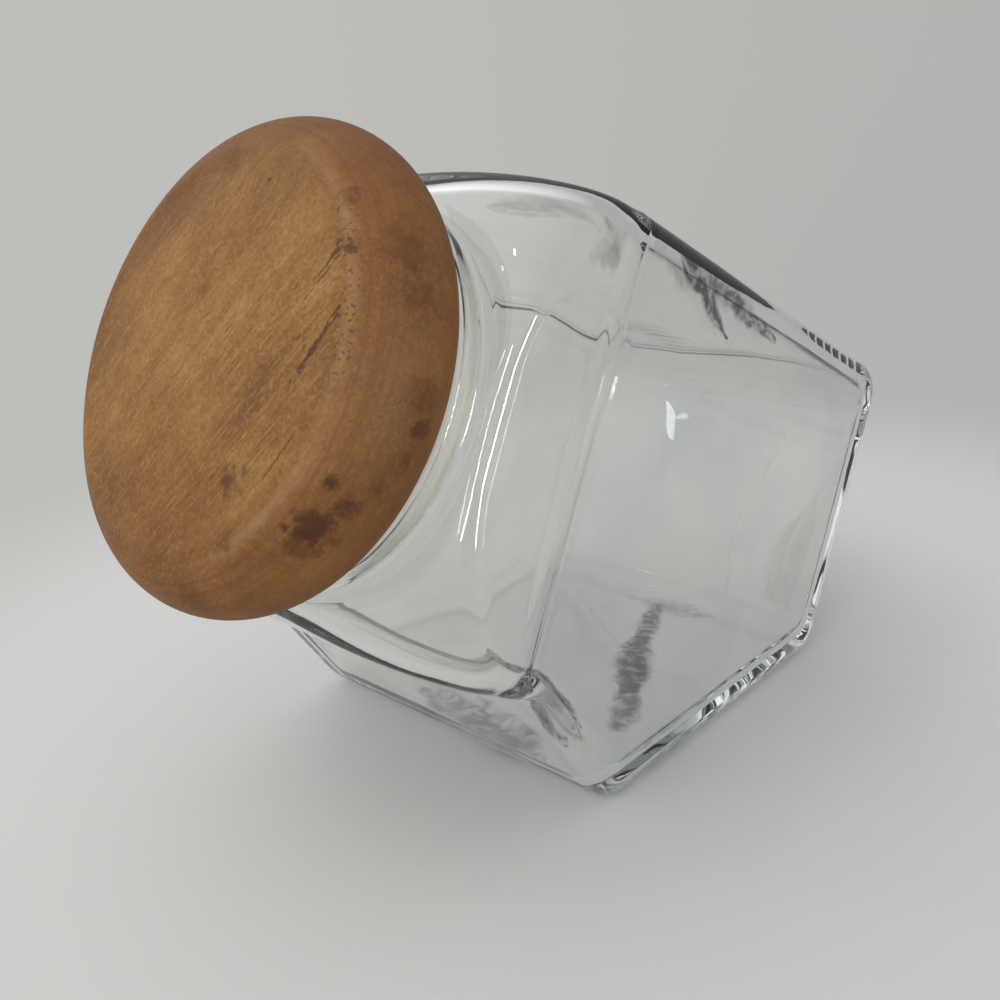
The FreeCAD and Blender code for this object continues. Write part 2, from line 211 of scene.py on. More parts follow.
def shoulder_half(share, half_x, half_y, end_radius, corner_radius):
    """Fine outline of the shoulder at a share of its depth, as in the CAD part."""
    side = (1 - share ** 4) ** 0.25
    corner = (1 - share ** 2) ** 0.5
    x = end_radius + (half_x - end_radius) * side
    y = end_radius + (half_y - end_radius) * side
    reach = math.hypot(half_x, half_y) - corner_radius * (math.sqrt(2) - 1)
    diagonal = end_radius + (reach - end_radius) * corner
    radius = (math.hypot(x, y) - diagonal) / (math.sqrt(2) - 1)
    shortest_flat = 0.02
    return rounded_half(x, y, min(radius, x - shortest_flat, y - shortest_flat))


# ------------------------------------------------------------- surfaces of the glass
def shoulder_rings(view, half_x, rim, depth, end_radius, crest_shares):
    """Rings from the foot of the collar to the band, their points gathering at the body's corners."""
    even = np.linspace(0, 1, N_HALF + 1)
    rings = []
    for share in np.sin(np.linspace(math.pi / 2, 0, SHOULDER_RINGS)):
        mix = share ** 2 * (3 - 2 * share)
        outline = shoulder_half(share, half_x - RIDGE_STEP, view["half"], end_radius, rim)
        half = spread(outline, crest_shares * (1 - mix) + even * mix)
        rings.append(mirrored(half, RIDGE_BAND + (depth - RIDGE_BAND) * share))
    return rings


def band_rings(view, half_x, rim, end_radius, crest, falls):
    """Rings of the narrow band between the shoulder and the ridge's crest."""
    outline = shoulder_half(0.0, half_x - RIDGE_STEP, view["half"], end_radius, rim)
    band = spread(outline, shares_of(crest))
    rings = []
    for share, fall in falls:
        half = [(x0 + (x1 - x0) * fall, p0 + (p1 - p0) * fall) for (x0, p0), (x1, p1) in zip(crest, band)]
        rings.append(mirrored(half, RIDGE_BAND * share))
    return rings


def panel_levels(view, first):
    """Levels of the body's rings from first to the back panel, closer together round its corners."""
    heel, nose_m = view["heel"], view["nose_centre"][0]
    levels = [first]
    for end, count in ((view["valley_centre"][0] - 0.5 * heel - 1, VALLEY_RINGS),
                       (nose_m + 0.6 * heel, FRONT_RINGS),
                       (nose_m - 0.6 * heel, NOSE_RINGS),
                       (view["back"] + heel, BASE_RINGS)):
        levels += list(np.linspace(levels[-1], end, count)[1:])
    return levels + [view["back"] + heel * (1 - math.sin(turn)) for turn in BACK_TURNS]


def back_rings(ring, back):
    """Ever smaller copies of a ring, laid on the back panel."""
    ring = np.array(ring)
    middle = np.array([0.0, (ring[:, 1].max() + ring[:, 1].min()) / 2, back])
    flat = ring - [0, 0, ring[0, 2] - back]
    return [[tuple(point) for point in middle + (flat - middle) * scale] for scale in BACK_SCALES]


def glass_rings(view, half_x, rim, depth, end_radius, ridge):
    """Rings of one glass surface from the foot of the collar down to the back panel."""
    crest = body_half(view, half_x, rim, 0.0)
    rings = shoulder_rings(view, half_x, rim, depth, end_radius, shares_of(crest))
    rings += band_rings(view, half_x, rim, end_radius, crest, ridge["falls"])
    rings += [mirrored(body_half(view, half_x - dip, rim, m), m) for m, dip in ridge["dips"]]
    rings += [mirrored(body_half(view, half_x, rim, m), m) for m in panel_levels(view, ridge["panels"])]
    return rings + back_rings(rings[-1], view["back"])


def skin(rings):
    """Vertices and faces of the closed surface through rings of equal count, with a fan at each end."""
    count = len(rings[0])
    points = [point for ring in rings for point in ring]
    last = len(points) - count
    faces = [(start + i, start + (i + 1) % count, start + count + (i + 1) % count, start + count + i)
             for start in range(0, last, count) for i in range(count)]
    faces += [((i + 1) % count, i, len(points)) for i in range(count)]
    faces += [(last + i, last + (i + 1) % count, len(points) + 1) for i in range(count)]
    points += [tuple(np.mean(rings[0], axis=0)), tuple(np.mean(rings[-1], axis=0))]
    return points, faces


def make_piece(name, rings, material):
    """Closed smooth piece through rings in the jar's frame, its faces turned outwards."""
    points, faces = skin(rings)
    mesh = bpy.data.meshes.new(name)
    mesh.from_pydata([tuple(p) for p in to_world(points)], [], faces)
    mesh.polygons.foreach_set("use_smooth", [True] * len(mesh.polygons))
    mesh.materials.append(material)
    work = bmesh.new()
    work.from_mesh(mesh)
    bmesh.ops.recalc_face_normals(work, faces=work.faces)
    work.to_mesh(mesh)
    work.free()
    mesh.update()
    piece = bpy.data.objects.new(name, mesh)
    bpy.context.scene.collection.objects.link(piece)
    return piece


# ------------------------------------------------------------- shader helpers
class Nodes:
    """Adds and links the nodes of one tree; a value may be a constant or another node's output."""

    def __init__(self, tree):
        self.tree = tree
        tree.nodes.clear()

    def add(self, kind, values=None, **settings):
        """New node with some inputs set or linked, by name or number."""
        node = self.tree.nodes.new("ShaderNode" + kind)
        for key, value in settings.items():
            setattr(node, key, value)
        for key, value in (values or {}).items():
            if isinstance(value, bpy.types.NodeSocket):
                self.tree.links.new(value, node.inputs[key])
            else:
                node.inputs[key].default_value = value
        return node

    def math(self, operation, a, b=0.0):
        return self.add("Math", {0: a, 1: b}, operation=operation).outputs[0]

    def product(self, first, *others):
        for other in others:
            first = self.math("MULTIPLY", first, other)
        return first

    def difference(self, a, b):
        return self.add("VectorMath", {0: a, 1: b}, operation="SUBTRACT").outputs[0]

    def dot(self, a, b):
        return self.add("VectorMath", {0: a, 1: b}, operation="DOT_PRODUCT").outputs["Value"]

    def distance(self, a, b):
        return self.add("VectorMath", {0: a, 1: b}, operation="DISTANCE").outputs["Value"]

    def noise(self, place, scale, detail, roughness=0.5, distortion=0.0):
        return self.add("TexNoise", {"Vector": place, "Scale": scale, "Detail": detail,
                                     "Roughness": roughness, "Distortion": distortion}).outputs[0]

    def fade(self, value, start, end, low=0.0, high=1.0, shape="SMOOTHSTEP"):
        """Goes from low to high while value goes from start to end."""
        return self.add("MapRange", {"Value": value, 1: start, 2: end, 3: low, 4: high},
                        interpolation_type=shape).outputs[0]

    def ramp(self, factor, stops):
        """Colour by factor, from (place, colour) stops."""
        node = self.add("ValToRGB", {0: factor})
        while len(node.color_ramp.elements) < len(stops):
            node.color_ramp.elements.new(0.5)
        for element, (place, colour) in zip(node.color_ramp.elements, stops):
            element.position = place
            element.color = (*colour, 1)
        return node.outputs[0]

    def grey(self, factor, stops):
        """Number by factor, from (place, number) stops."""
        return self.ramp(factor, [(place, (v, v, v)) for place, v in stops])

    def mix(self, factor, a, b):
        """Colour between a and b."""
        node = self.add("Mix", data_type="RGBA")
        for key, value in ((0, factor), (6, a), (7, b)):
            if isinstance(value, bpy.types.NodeSocket):
                self.tree.links.new(value, node.inputs[key])
            else:
                node.inputs[key].default_value = value if key == 0 else (*value, 1)
        return node.outputs[2]


def new_material(name):
    """Material without nodes, and the helper that fills it."""
    material = bpy.data.materials.new(name)
    material.use_nodes = True
    return material, Nodes(material.node_tree)


def linear(red, green, blue):
    """Colour given as 0-255 sRGB, as linear values."""
    return tuple((v / 255 / 12.92) if v <= 10 else ((v / 255 + 0.055) / 1.055) ** 2.4
                 for v in (red, green, blue))


def streak(n, place, start, end, width, strength, wander):
    """A mark that runs from start to end, widest in its middle, its edge pushed about by wander."""
    run = Vector(end) - Vector(start)
    offset = n.difference(place, start)
    share = n.add("Clamp", {0: n.dot(offset, run / run.length_squared)}).outputs[0]
    nearest = n.add("VectorMath", {0: run, 3: share}, operation="SCALE").outputs[0]
    away = n.math("ADD", n.distance(offset, nearest), n.product(wander, width * 1.6))
    ends = n.product(share, n.math("SUBTRACT", 1.0, share))
    wide = n.product(n.math("ADD", n.product(ends, 3.2), 0.2), width)
    return n.fade(away, wide, n.product(wide, 0.45), 0.0, strength)


# ------------------------------------------------------------- directions and places, metres
# the lid's own directions: out through the face, up the face, and along and across its board's grain
LID_AXIS = Vector((0, -COS, SIN))
LID_UP = Vector((0, SIN, COS))
GRAIN_TURN = math.radians(52)
GRAIN = Vector((math.cos(GRAIN_TURN), 0, 0)) + LID_UP * math.sin(GRAIN_TURN)
ACROSS = LID_AXIS.cross(GRAIN)
LID_CENTRE = Vector(to_world([(0, 0, LID_MIDDLE + LID_RIM)])[0])
RIDGE_LEVEL = Vector(to_world([(0, 0, 0)])[0]).dot(LID_AXIS)
OPEN_SPOT = (0.030, 0.006)      # where the lid's pores are most open: x and up from the face's centre
EDGE_RADIUS = 0.0488            # the worn edge between the lid's face and rim

# towards the brightest part of the sky, a dark part of the room and the darker side of the backdrop
KEY_DIRECTION = Vector((-0.55, -0.6, 0.6)).normalized()
DARK_DIRECTION = Vector((0.66, -0.72, 0.22)).normalized()
SHADED_SIDE = Vector((0.714, 0.700, 0.0)).normalized()


def on_lid(x, up, out=0.0):
    """Place on the lid from its face's centre."""
    return Vector((x, 0, 0)) + LID_UP * up + LID_AXIS * out


# (place, size, strength) of knots and dark marks
KNOTS = [(on_lid(0.0263, -0.0254), 0.0052, 0.75), (on_lid(0.0300, -0.0235), 0.0030, 0.5),
         (on_lid(0.0470, -0.0295, -0.006), 0.0058, 0.85), (on_lid(0.0430, -0.0345, -0.006), 0.0050, 0.6),
         (on_lid(0.0517, -0.0250, -0.010), 0.0040, 0.9), (on_lid(0.0500, -0.0210, -0.006), 0.0024, 0.9),
         (on_lid(0.0423, -0.0319, -0.0034), 0.0020, 0.9), (on_lid(0.0560, -0.0200, -0.013), 0.0040, 0.5),
         (on_lid(0.0370, 0.0345, -0.002), 0.0036, 0.6), (on_lid(0.0424, 0.0245, -0.001), 0.0026, 0.8),
         (on_lid(0.0505, 0.0270, -0.010), 0.0075, 0.4), (on_lid(0.0545, 0.0180, -0.011), 0.0075, 0.4),
         (on_lid(0.0575, -0.0010, -0.015), 0.0050, 0.4), (on_lid(0.0572, -0.0070, -0.017), 0.0032, 0.7),
         (on_lid(0.0560, -0.0130, -0.017), 0.0028, 0.6), (on_lid(0.0289, -0.0383, -0.001), 0.0040, 0.45),
         (on_lid(-0.0138, -0.0165), 0.0011, 0.9), (on_lid(-0.0128, 0.0057), 0.0008, 0.9),
         (on_lid(0.0107, 0.0375), 0.0009, 0.9), (on_lid(-0.0067, 0.0292), 0.0009, 0.9),
         (on_lid(-0.0052, 0.0427), 0.0045, 0.35), (on_lid(0.0152, -0.0529, -0.006), 0.0060, 0.35)]

# (start, end, half width, strength) of the deeper scratches along the lid's grain
SCRATCHES = [(on_lid(0.0350, -0.0080), on_lid(0.0475, 0.0140), 0.00060, 0.85),
             (on_lid(0.0395, 0.0005), on_lid(0.0470, 0.0155), 0.00045, 0.8),
             (on_lid(0.0365, 0.0175), on_lid(0.0440, 0.0290), 0.00055, 0.8),
             (on_lid(0.0330, 0.0105), on_lid(0.0420, 0.0235), 0.00040, 0.65),
             (on_lid(0.0395, 0.0245), on_lid(0.0430, 0.0350, -0.0008), 0.00070, 0.75),
             (on_lid(0.0280, -0.0025), on_lid(0.0370, 0.0110), 0.00038, 0.6),
             (on_lid(0.0250, 0.0050), on_lid(0.0330, 0.0180), 0.00034, 0.5),
             (on_lid(0.0190, -0.0270), on_lid(0.0260, -0.0165), 0.00034, 0.5),
             (on_lid(0.0330, -0.0130), on_lid(0.0405, 0.0000), 0.00040, 0.6),
             (on_lid(0.0380, -0.0210), on_lid(0.0430, -0.0130), 0.00040, 0.6),
             (on_lid(0.0350, -0.0260), on_lid(0.0400, -0.0180), 0.00034, 0.6)]

# (start, end, half width, strength) of the dark grey streaks painted into the glass's colour: painted dark
# refractions in the glass
PAINTED_DARK_STREAKS = [((0.0585, 0.009, 0.135), (0.0585, 0.027, 0.110), 0.0040, 0.98),
         ((0.0585, 0.013, 0.132), (0.0585, 0.050, 0.104), 0.0036, 0.95),
         ((0.0585, 0.000, 0.138), (0.0585, 0.040, 0.115), 0.0090, 0.30),
         ((0.001, 0.068, 0.003), (0.018, 0.030, 0.003), 0.0044, 0.95),
         ((0.011, 0.044, 0.003), (0.032, 0.006, 0.003), 0.0064, 0.95),
         ((0.026, 0.016, 0.003), (0.043, -0.012, 0.003), 0.0060, 0.85),
         ((-0.010, 0.060, 0.003), (0.030, 0.064, 0.003), 0.0050, 0.4),
         ((-0.024, -0.020, 0.004), (0.014, -0.021, 0.005), 0.0075, 0.9),
         ((-0.004, -0.020, 0.006), (0.036, -0.027, 0.007), 0.0105, 1.0),
         ((0.018, -0.010, 0.149), (0.052, -0.013, 0.144), 0.0085, 0.45),
         ((0.036, -0.014, 0.141), (0.062, -0.016, 0.138), 0.0070, 0.45),
         ((0.0575, -0.022, 0.003), (0.0585, 0.012, 0.003), 0.0050, 0.6)]


# ------------------------------------------------------------- glass
def glass_material():
    """Clear glass with a faint grey-green body, a paler shoulder that is painted light, a slight ripple and a
    few dark streaks painted in as dark refractions.
    """
    material, n = new_material("clear_glass")
    place = n.add("TexCoord").outputs["Object"]
    cloud = n.noise(place, 30.0, 3.0, distortion=0.6)
    colour = n.ramp(cloud, [(0.40, linear(250, 251, 250)), (0.60, linear(243, 245, 244))])
    # painted light: the shoulder's glass is painted paler than the body's, for the brightness its curved
    # surface bends in
    shoulder = n.fade(n.dot(place, LID_AXIS), RIDGE_LEVEL, RIDGE_LEVEL + 0.008, shape="LINEAR")
    colour = n.mix(shoulder, colour, linear(254, 255, 254))
    wander = n.math("SUBTRACT", n.noise(place, 55.0, 2.0, distortion=1.5), 0.5)
    streak_breakup = n.grey(n.noise(place, 130.0, 3.0, distortion=2.5), [(0.38, 0.45), (0.56, 1.0)])
    # painted dark refractions: dark grey streaks laid into the glass's colour, broken into patches
    for start, end, width, strength in PAINTED_DARK_STREAKS:
        mark = streak(n, place, start, end, width, strength, wander)
        colour = n.mix(n.product(mark, streak_breakup), colour, linear(30, 38, 40))
    ripple = n.noise(place, 150.0, 0.0)
    bump = n.add("Bump", {"Height": ripple, "Strength": 0.06, "Distance": 0.0002})
    shader = n.add("BsdfPrincipled", {
        "Base Color": colour, "Roughness": 0.0, "IOR": 1.5,
        "Transmission Weight": 1.0, "Normal": bump.outputs[0]})
    inside = n.add("VolumeAbsorption", {"Color": (0.60, 0.68, 0.66, 1), "Density": 4.0})
    n.add("OutputMaterial", {"Surface": shader.outputs[0], "Volume": inside.outputs[0]})
    return material


def neck_rings(bore):
    """Rings up the bore, over the rounded lip and down the collar's outside to its foot."""
    rings = [circle_ring(bore, m) for m in BORE_LEVELS]
    for turn in np.linspace(0, math.pi / 2, N_LIP):
        step, drop = LIP_ROUND * (1 - math.cos(turn)), LIP_ROUND * (1 - math.sin(turn))
        rings.append(circle_ring(bore + step, LIP - drop))
    for turn in np.linspace(0, math.pi / 2, N_LIP + 1):
        step, drop = LIP_ROUND * (1 - math.sin(turn)), LIP_ROUND * (1 - math.cos(turn))
        rings.append(circle_ring(COLLAR_RADIUS - step, LIP - drop))
    return rings + [circle_ring(COLLAR_RADIUS + step, m) for step, m in COLLAR_FOOT]


def make_glass():
    """The jar: its hollow, its neck and its outside as one closed surface."""
    front_m = -HEEL * math.tan(TILT / 2) - RIDGE_LAND
    outer = side_view(HALF, BACK, HALF - BACK_HEIGHT, front_m, HEEL)
    inner_base = HALF - BACK_HEIGHT - WALL_BACK * LEAN + WALL_BASE / COS
    inner_front = front_m + (WALL_TOP - WALL_FRONT / COS) / LEAN
    inner = side_view(HALF - WALL_TOP, BACK + WALL_BACK, inner_base, inner_front, INNER_HEEL)
    bore = COLLAR_RADIUS - COLLAR_WALL

    inside = glass_rings(inner, HALF - WALL_SIDE, INNER_RIM, SHOULDER_DEPTH - SHOULDER_WALL,
                         bore + BORE_STEP, INNER_RIDGE)
    outside = glass_rings(outer, HALF, RIM, SHOULDER_DEPTH, COLLAR_RADIUS + SHOULDER_STEP, OUTER_RIDGE)
    neck = neck_rings(bore)
    piece = make_piece("glass_jar", inside[::-1] + neck + outside, glass_material())
    count = len(neck[0])
    flow_glass(piece, len(inside) * count, (len(inside) + len(neck)) * count)
    return piece


def flow_glass(piece, inner_end, outer_start):
    """Uneven glass: slow waves and small ripples on the inside, hardly any on the outside."""
    vertices = piece.data.vertices
    normals = [vertex.normal.copy() for vertex in vertices]
    inner_middle = len(vertices) - 2
    for vertex, normal in zip(vertices, normals):
        inner = vertex.index < inner_end or vertex.index == inner_middle
        if not inner and vertex.index < outer_start:
            continue
        place = vertex.co
        slow = noise.noise(place * SLOW_WAVES + SLOW_START)
        quick = noise.noise(place * QUICK_WAVES + QUICK_START)
        if inner:
            push = INNER_SLOW * slow + INNER_QUICK * quick
        else:
            push = -OUTER_SLOW * (1 + slow) - OUTER_QUICK * (1 + quick)
            push *= min(1.0, max(0.0, (place.z - REST_HEIGHT) / REST_FADE))
        vertex.co = place + normal * push
    piece.data.update()


# ------------------------------------------------------------- wooden lid
class LidPlace:
    """Where a point lies on the lid, as shader values."""

    def __init__(self, n):
        self.place = n.add("TexCoord").outputs["Object"]
        # frame of the board: along the grain, across it in the lid's face, and through the lid
        self.depth = n.dot(self.place, LID_AXIS)
        self.board = n.add("CombineXYZ", {
            0: n.dot(self.place, GRAIN), 1: n.dot(self.place, ACROSS), 2: self.depth}).outputs[0]
        # from the face's centre: x across, up the face, and the distance from the lid's axis
        self.local = n.difference(self.place, LID_CENTRE)
        self.side = n.add("SeparateXYZ", {0: self.local}).outputs[0]
        self.up = n.dot(self.local, LID_UP)
        square = n.math("ADD", n.product(self.side, self.side), n.product(self.up, self.up))
        self.radius = n.math("SQRT", square)
        self.from_edge = n.math("ABSOLUTE", n.math("SUBTRACT", self.radius, EDGE_RADIUS))
        # how far a point belongs to the rim, and to the +x side
        self.rim = n.fade(self.radius, 0.045, 0.053)
        self.right = n.fade(self.side, 0.005, 0.035)


def grain_noise(n, at, scale, stretch, detail, roughness, shift=0.0):
    """Noise drawn out along the grain; scale is its count per metre across the grain."""
    squeezed = n.add("Mapping", {
        "Vector": at.board, "Scale": (scale / stretch, scale, scale), "Location": (shift, shift, shift)})
    return n.noise(squeezed.outputs[0], 1.0, detail, roughness)


def open_pores(n, at):
    """Fine lines and open pores along the grain, more of them in some places."""
    crowd = n.grey(grain_noise(n, at, 48.0, 1.6, 2.0, 0.5, 6.0), [(0.42, 0.0), (0.62, 0.7)])
    open_spot = n.fade(n.distance(at.local, on_lid(*OPEN_SPOT)), 0.026, 0.006, 0.0, 0.8)
    hair = n.grey(grain_noise(n, at, 2300.0, 26.0, 1.0, 0.5, 2.0), [(0.30, 0.9), (0.44, 0.0)])
    pores = n.grey(grain_noise(n, at, 1500.0, 5.0, 1.0, 0.5, 9.0), [(0.270, 0.9), (0.325, 0.0)])
    opened = n.math("MAXIMUM", n.product(hair, 0.55), pores)
    return n.product(opened, n.math("MAXIMUM", crowd, open_spot))


def edge_pits(n, at):
    """Small pits along the worn edge on the +x side."""
    spots = n.grey(n.noise(at.place, 1150.0, 2.0), [(0.35, 1.0), (0.41, 0.0)])
    near_edge = n.fade(at.from_edge, 0.0030, 0.0008)
    near_height = n.fade(n.math("ABSOLUTE", n.math("SUBTRACT", at.up, 0.016)), 0.024, 0.012)
    return n.product(spots, near_edge, near_height, at.right)


def wood_coats(n, at, speckle, blotches, grit, pores, pits):
    """(share, sRGB colour) of what is laid over the board's own tones, in order."""
    bands = grain_noise(n, at, 120.0, 7.0, 3.0, 0.55, 4.0)
    warm = n.noise(at.place, 17.0, 2.0)
    pale_lines = grain_noise(n, at, 2100.0, 24.0, 1.0, 0.5, 13.0)
    coats = [(n.grey(bands, [(0.36, 0.22), (0.54, 0.0)]), (112, 70, 28)),
             (n.grey(warm, [(0.48, 0.0), (0.66, 0.35)]), (124, 74, 30)),
             (n.grey(speckle, [(0.37, 0.30), (0.5, 0.0)]), (96, 60, 26)),
             (n.grey(speckle, [(0.52, 0.0), (0.68, 0.25)]), (182, 146, 98)),
             (pores, (84, 50, 22)),
             (n.grey(pale_lines, [(0.58, 0.0), (0.74, 0.28)]), (186, 150, 102))]

    # turning lines round the rim, and the pale worn edge with its pits
    turned = n.add("CombineXYZ", {0: n.product(at.radius, 900.0), 1: at.depth}).outputs[0]
    lines = n.grey(n.noise(turned, 1.0, 2.0), [(0.35, 0.5), (0.5, 0.0)])
    pale_edge = n.fade(at.from_edge, 0.0024, 0.0, 0.0, 0.55)
    coats += [(n.product(lines, at.rim), (94, 58, 26)),
              (n.product(pale_edge, at.right, n.grey(blotches, [(0.40, 0.2), (0.60, 1.0)])), (188, 150, 104)),
              (n.product(pits, 0.75), (66, 38, 18))]

    # darker and redder towards the top left edge, and darker at the top and the bottom
    outer = n.fade(at.radius, 0.030, 0.055, 0.0, 0.55, shape="LINEAR")
    top_left = n.fade(n.math("SUBTRACT", at.up, n.product(at.side, 0.7)), 0.0, 0.045, shape="LINEAR")
    ends = n.fade(n.math("ABSOLUTE", at.up), 0.018, 0.048, 0.0, 0.28, shape="LINEAR")
    coats += [(n.product(outer, top_left), (108, 64, 30)), (ends, (104, 66, 30))]

    # fine dark grime and painted shade on the rim towards +x, the side away from the key light, in broad
    # patches, and a redder, darker tone over all of that side, also partly painted shade
    grime_and_shade = n.product(n.grey(blotches, [(0.44, 0.0), (0.60, 1.0)]), n.grey(grit, [(0.36, 1.0), (0.62, 0.15)]),
                      at.rim, at.right, 0.65)
    return coats + [(grime_and_shade, (76, 48, 26)), (n.product(at.rim, at.right, 0.45), (136, 86, 48))]


def wood_material():
    """Oiled brown wood: soft mottled tones, hairlines and open pores along the grain, grime and painted shade
    on the rim.
    """
    material, n = new_material("turned_wood")
    at = LidPlace(n)
    mottle = n.math("ADD", n.product(grain_noise(n, at, 42.0, 1.5, 4.0, 0.62), 0.75),
                    n.product(grain_noise(n, at, 260.0, 2.5, 3.0, 0.6, 3.0), 0.25))
    speckle = n.noise(at.place, 1050.0, 3.0, 0.65)
    blotches = n.noise(at.place, 60.0, 4.0, 0.65)
    grit = n.noise(at.place, 420.0, 4.0, 0.75)
    pores, pits = open_pores(n, at), edge_pits(n, at)

    colour = n.ramp(mottle, [(0.34, linear(112, 70, 27)), (0.44, linear(129, 87, 36)),
                             (0.54, linear(142, 101, 48)), (0.66, linear(158, 118, 64))])
    for share, tone in wood_coats(n, at, speckle, blotches, grit, pores, pits):
        colour = n.mix(share, colour, linear(*tone))
    ragged = n.math("ADD", n.product(blotches, 0.6), n.product(grit, 0.4))
    for spot, size, strength in KNOTS:
        wobble = n.product(n.math("SUBTRACT", ragged, 0.5), size * 4.5)
        away = n.math("ADD", n.distance(at.local, spot), wobble)
        colour = n.mix(n.fade(away, size, size * 0.15, 0.0, strength), colour, linear(72, 40, 18))
    hollows = n.math("MAXIMUM", pores, pits)
    jitter = n.product(n.math("SUBTRACT", grit, 0.5), 3.0)
    for start, end, width, strength in SCRATCHES:
        scratch = streak(n, at.local, start, end, width, strength, jitter)
        colour = n.mix(scratch, colour, linear(78, 44, 20))
        hollows = n.math("MAXIMUM", hollows, scratch)

    height = n.math("ADD", n.product(hollows, -1.0), n.product(speckle, 0.5))
    bump = n.add("Bump", {"Height": height, "Strength": 0.5, "Distance": 0.0003})
    rough = n.grey(mottle, [(0.3, 0.52), (0.7, 0.66)])
    shader = n.add("BsdfPrincipled", {
        "Base Color": colour, "Roughness": rough, "Normal": bump.outputs[0], "Specular IOR Level": 0.18})
    n.add("OutputMaterial", {"Surface": shader.outputs[0]})
    return material


def make_lid():
    """The turned lid: domed face, rounded rim, flat seat and boss."""
    face_radius = LID_RADIUS - LID_RIM
    profile = [(r, LID_MIDDLE + LID_RIM + LID_CROWN * (1 - (r / face_radius) ** 2))
               for r in np.linspace(3, face_radius - 2, FACE_RINGS)]
    for turn in np.linspace(math.pi / 2, RIM_FOOT, RIM_RINGS):
        worn = max(0.0, turn - WORN_FROM) / (math.pi / 2 - WORN_FROM)
        radius = (LID_RIM - RIM_INSET) * (1 + WORN_BULGE * math.sin(math.pi * worn) ** 2)
        profile.append((face_radius + radius * max(math.cos(turn), 0), LID_MIDDLE + radius * math.sin(turn)))
    profile += [(r, SEAT) for r in SEAT_RADII]
    profile += [(BOSS_RADIUS + BOSS_ROOT, SEAT), (BOSS_RADIUS, SEAT - BOSS_ROOT), (BOSS_RADIUS, BOSS_MIDDLE),
                (BOSS_RADIUS, BOSS_END + BOSS_CHAMFER), (BOSS_RADIUS - BOSS_CHAMFER, BOSS_END)]
    profile += [(r, BOSS_END) for r in BOSS_FACE_RADII]
    return make_piece("wooden_lid", [circle_ring(r, m) for r, m in profile], wood_material())


# ------------------------------------------------------------- seal
def seal_material():
    """Pale cream soft plastic that lets light in."""
    material, n = new_material("seal_plastic")
    place = n.add("TexCoord").outputs["Object"]
    colour = n.ramp(n.noise(place, 90.0, 2.0), [(0.3, linear(240, 238, 226)), (0.7, linear(247, 245, 236))])
    bump = n.add("Bump", {"Height": n.noise(place, 900.0, 1.0), "Strength": 0.1, "Distance": 0.0002})
    shader = n.add("BsdfPrincipled", {
        "Base Color": colour, "Roughness": 0.4, "Subsurface Weight": 0.6, "Subsurface Scale": 0.004,
        "Subsurface Radius": (1.0, 0.9, 0.7), "Normal": bump.outputs[0]})
    n.add("OutputMaterial", {"Surface": shader.outputs[0]})
    return material


glass = make_glass()
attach(glass, "root")
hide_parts("jar")

lid = make_lid()
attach(lid, "root")
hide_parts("lid")

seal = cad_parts["seal"]
seal.data.materials[0] = seal_material()


# ------------------------------------------------------------- stage, metres
FLOOR_RADII, FLOOR_STEPS, FLOOR_DROP = (0.2, 0.5, 1.2, 3.0, 9.0), 96, 0.0002
LAMP_TARGET = (0, 0, 0.08)
CAMERA_PLACE, CAMERA_LENS = (0.2154, -0.2092, 0.1758), 39.6
CAMERA_FORWARD, CAMERA_UP = Vector((-0.6766, 0.6477, -0.3504)), Vector((-0.179, 0.317, 0.931))
BOUNCES = 24                # the light's paths inside the walls are long


def seen_rays(n, path):
    """1 for what is seen straight, mirrored or through glass, 0 for light on its way to a matt surface."""
    seen = n.math("MAXIMUM", path.outputs["Is Camera Ray"], path.outputs["Is Glossy Ray"])
    seen = n.math("MAXIMUM", seen, path.outputs["Is Transmission Ray"])
    return n.product(seen, n.math("LESS_THAN", path.outputs["Diffuse Depth"], 0.5))


def backdrop_tone(n, direction):
    """The backdrop's tone: even, and a little darker towards SHADED_SIDE."""
    level = n.add("VectorMath", {0: direction}, operation="NORMALIZE").outputs[0]
    share = n.fade(n.dot(level, SHADED_SIDE), -0.3, 0.5)
    return n.mix(share, linear(190, 190, 187), linear(179, 179, 177))


def floor_material():
    """Pale floor that fades with distance to the backdrop's tone, so that the two run together."""
    material, n = new_material("pale_floor")
    place = n.add("NewGeometry").outputs["Position"]
    away = n.add("VectorMath", {0: place}, operation="LENGTH").outputs["Value"]
    path = n.add("LightPath")
    seen = seen_rays(n, path)
    far = n.product(n.fade(away, 0.15, 0.36), seen)
    through_glass = n.product(path.outputs["Is Transmission Ray"], seen, 0.75)
    lit = n.add("BsdfDiffuse", {"Color": (0.575, 0.575, 0.565, 1)})
    tone = n.add("Emission", {"Color": backdrop_tone(n, place), "Strength": 1.0})
    both = n.add("MixShader", {
        0: n.math("MAXIMUM", far, through_glass), 1: lit.outputs[0], 2: tone.outputs[0]})
    n.add("OutputMaterial", {"Surface": both.outputs[0]})
    return material


def make_floor():
    """Wide round floor with its middle under the jar, a hair below its base."""
    count = FLOOR_STEPS
    points, faces = [(0.0, 0.0, -FLOOR_DROP)], [(0, 1 + i, 1 + (i + 1) % count) for i in range(count)]
    for radius in FLOOR_RADII:
        points += [(radius * math.cos(2 * math.pi * i / count),
                    radius * math.sin(2 * math.pi * i / count), -FLOOR_DROP) for i in range(count)]
    for k in range(len(FLOOR_RADII) - 1):
        a, b = 1 + k * count, 1 + (k + 1) * count
        faces += [(a + i, b + i, b + (i + 1) % count, a + (i + 1) % count) for i in range(count)]
    mesh = bpy.data.meshes.new("floor")
    mesh.from_pydata(points, [], faces)
    mesh.materials.append(floor_material())
    floor = bpy.data.objects.new("floor", mesh)
    bpy.context.scene.collection.objects.link(floor)
    return floor


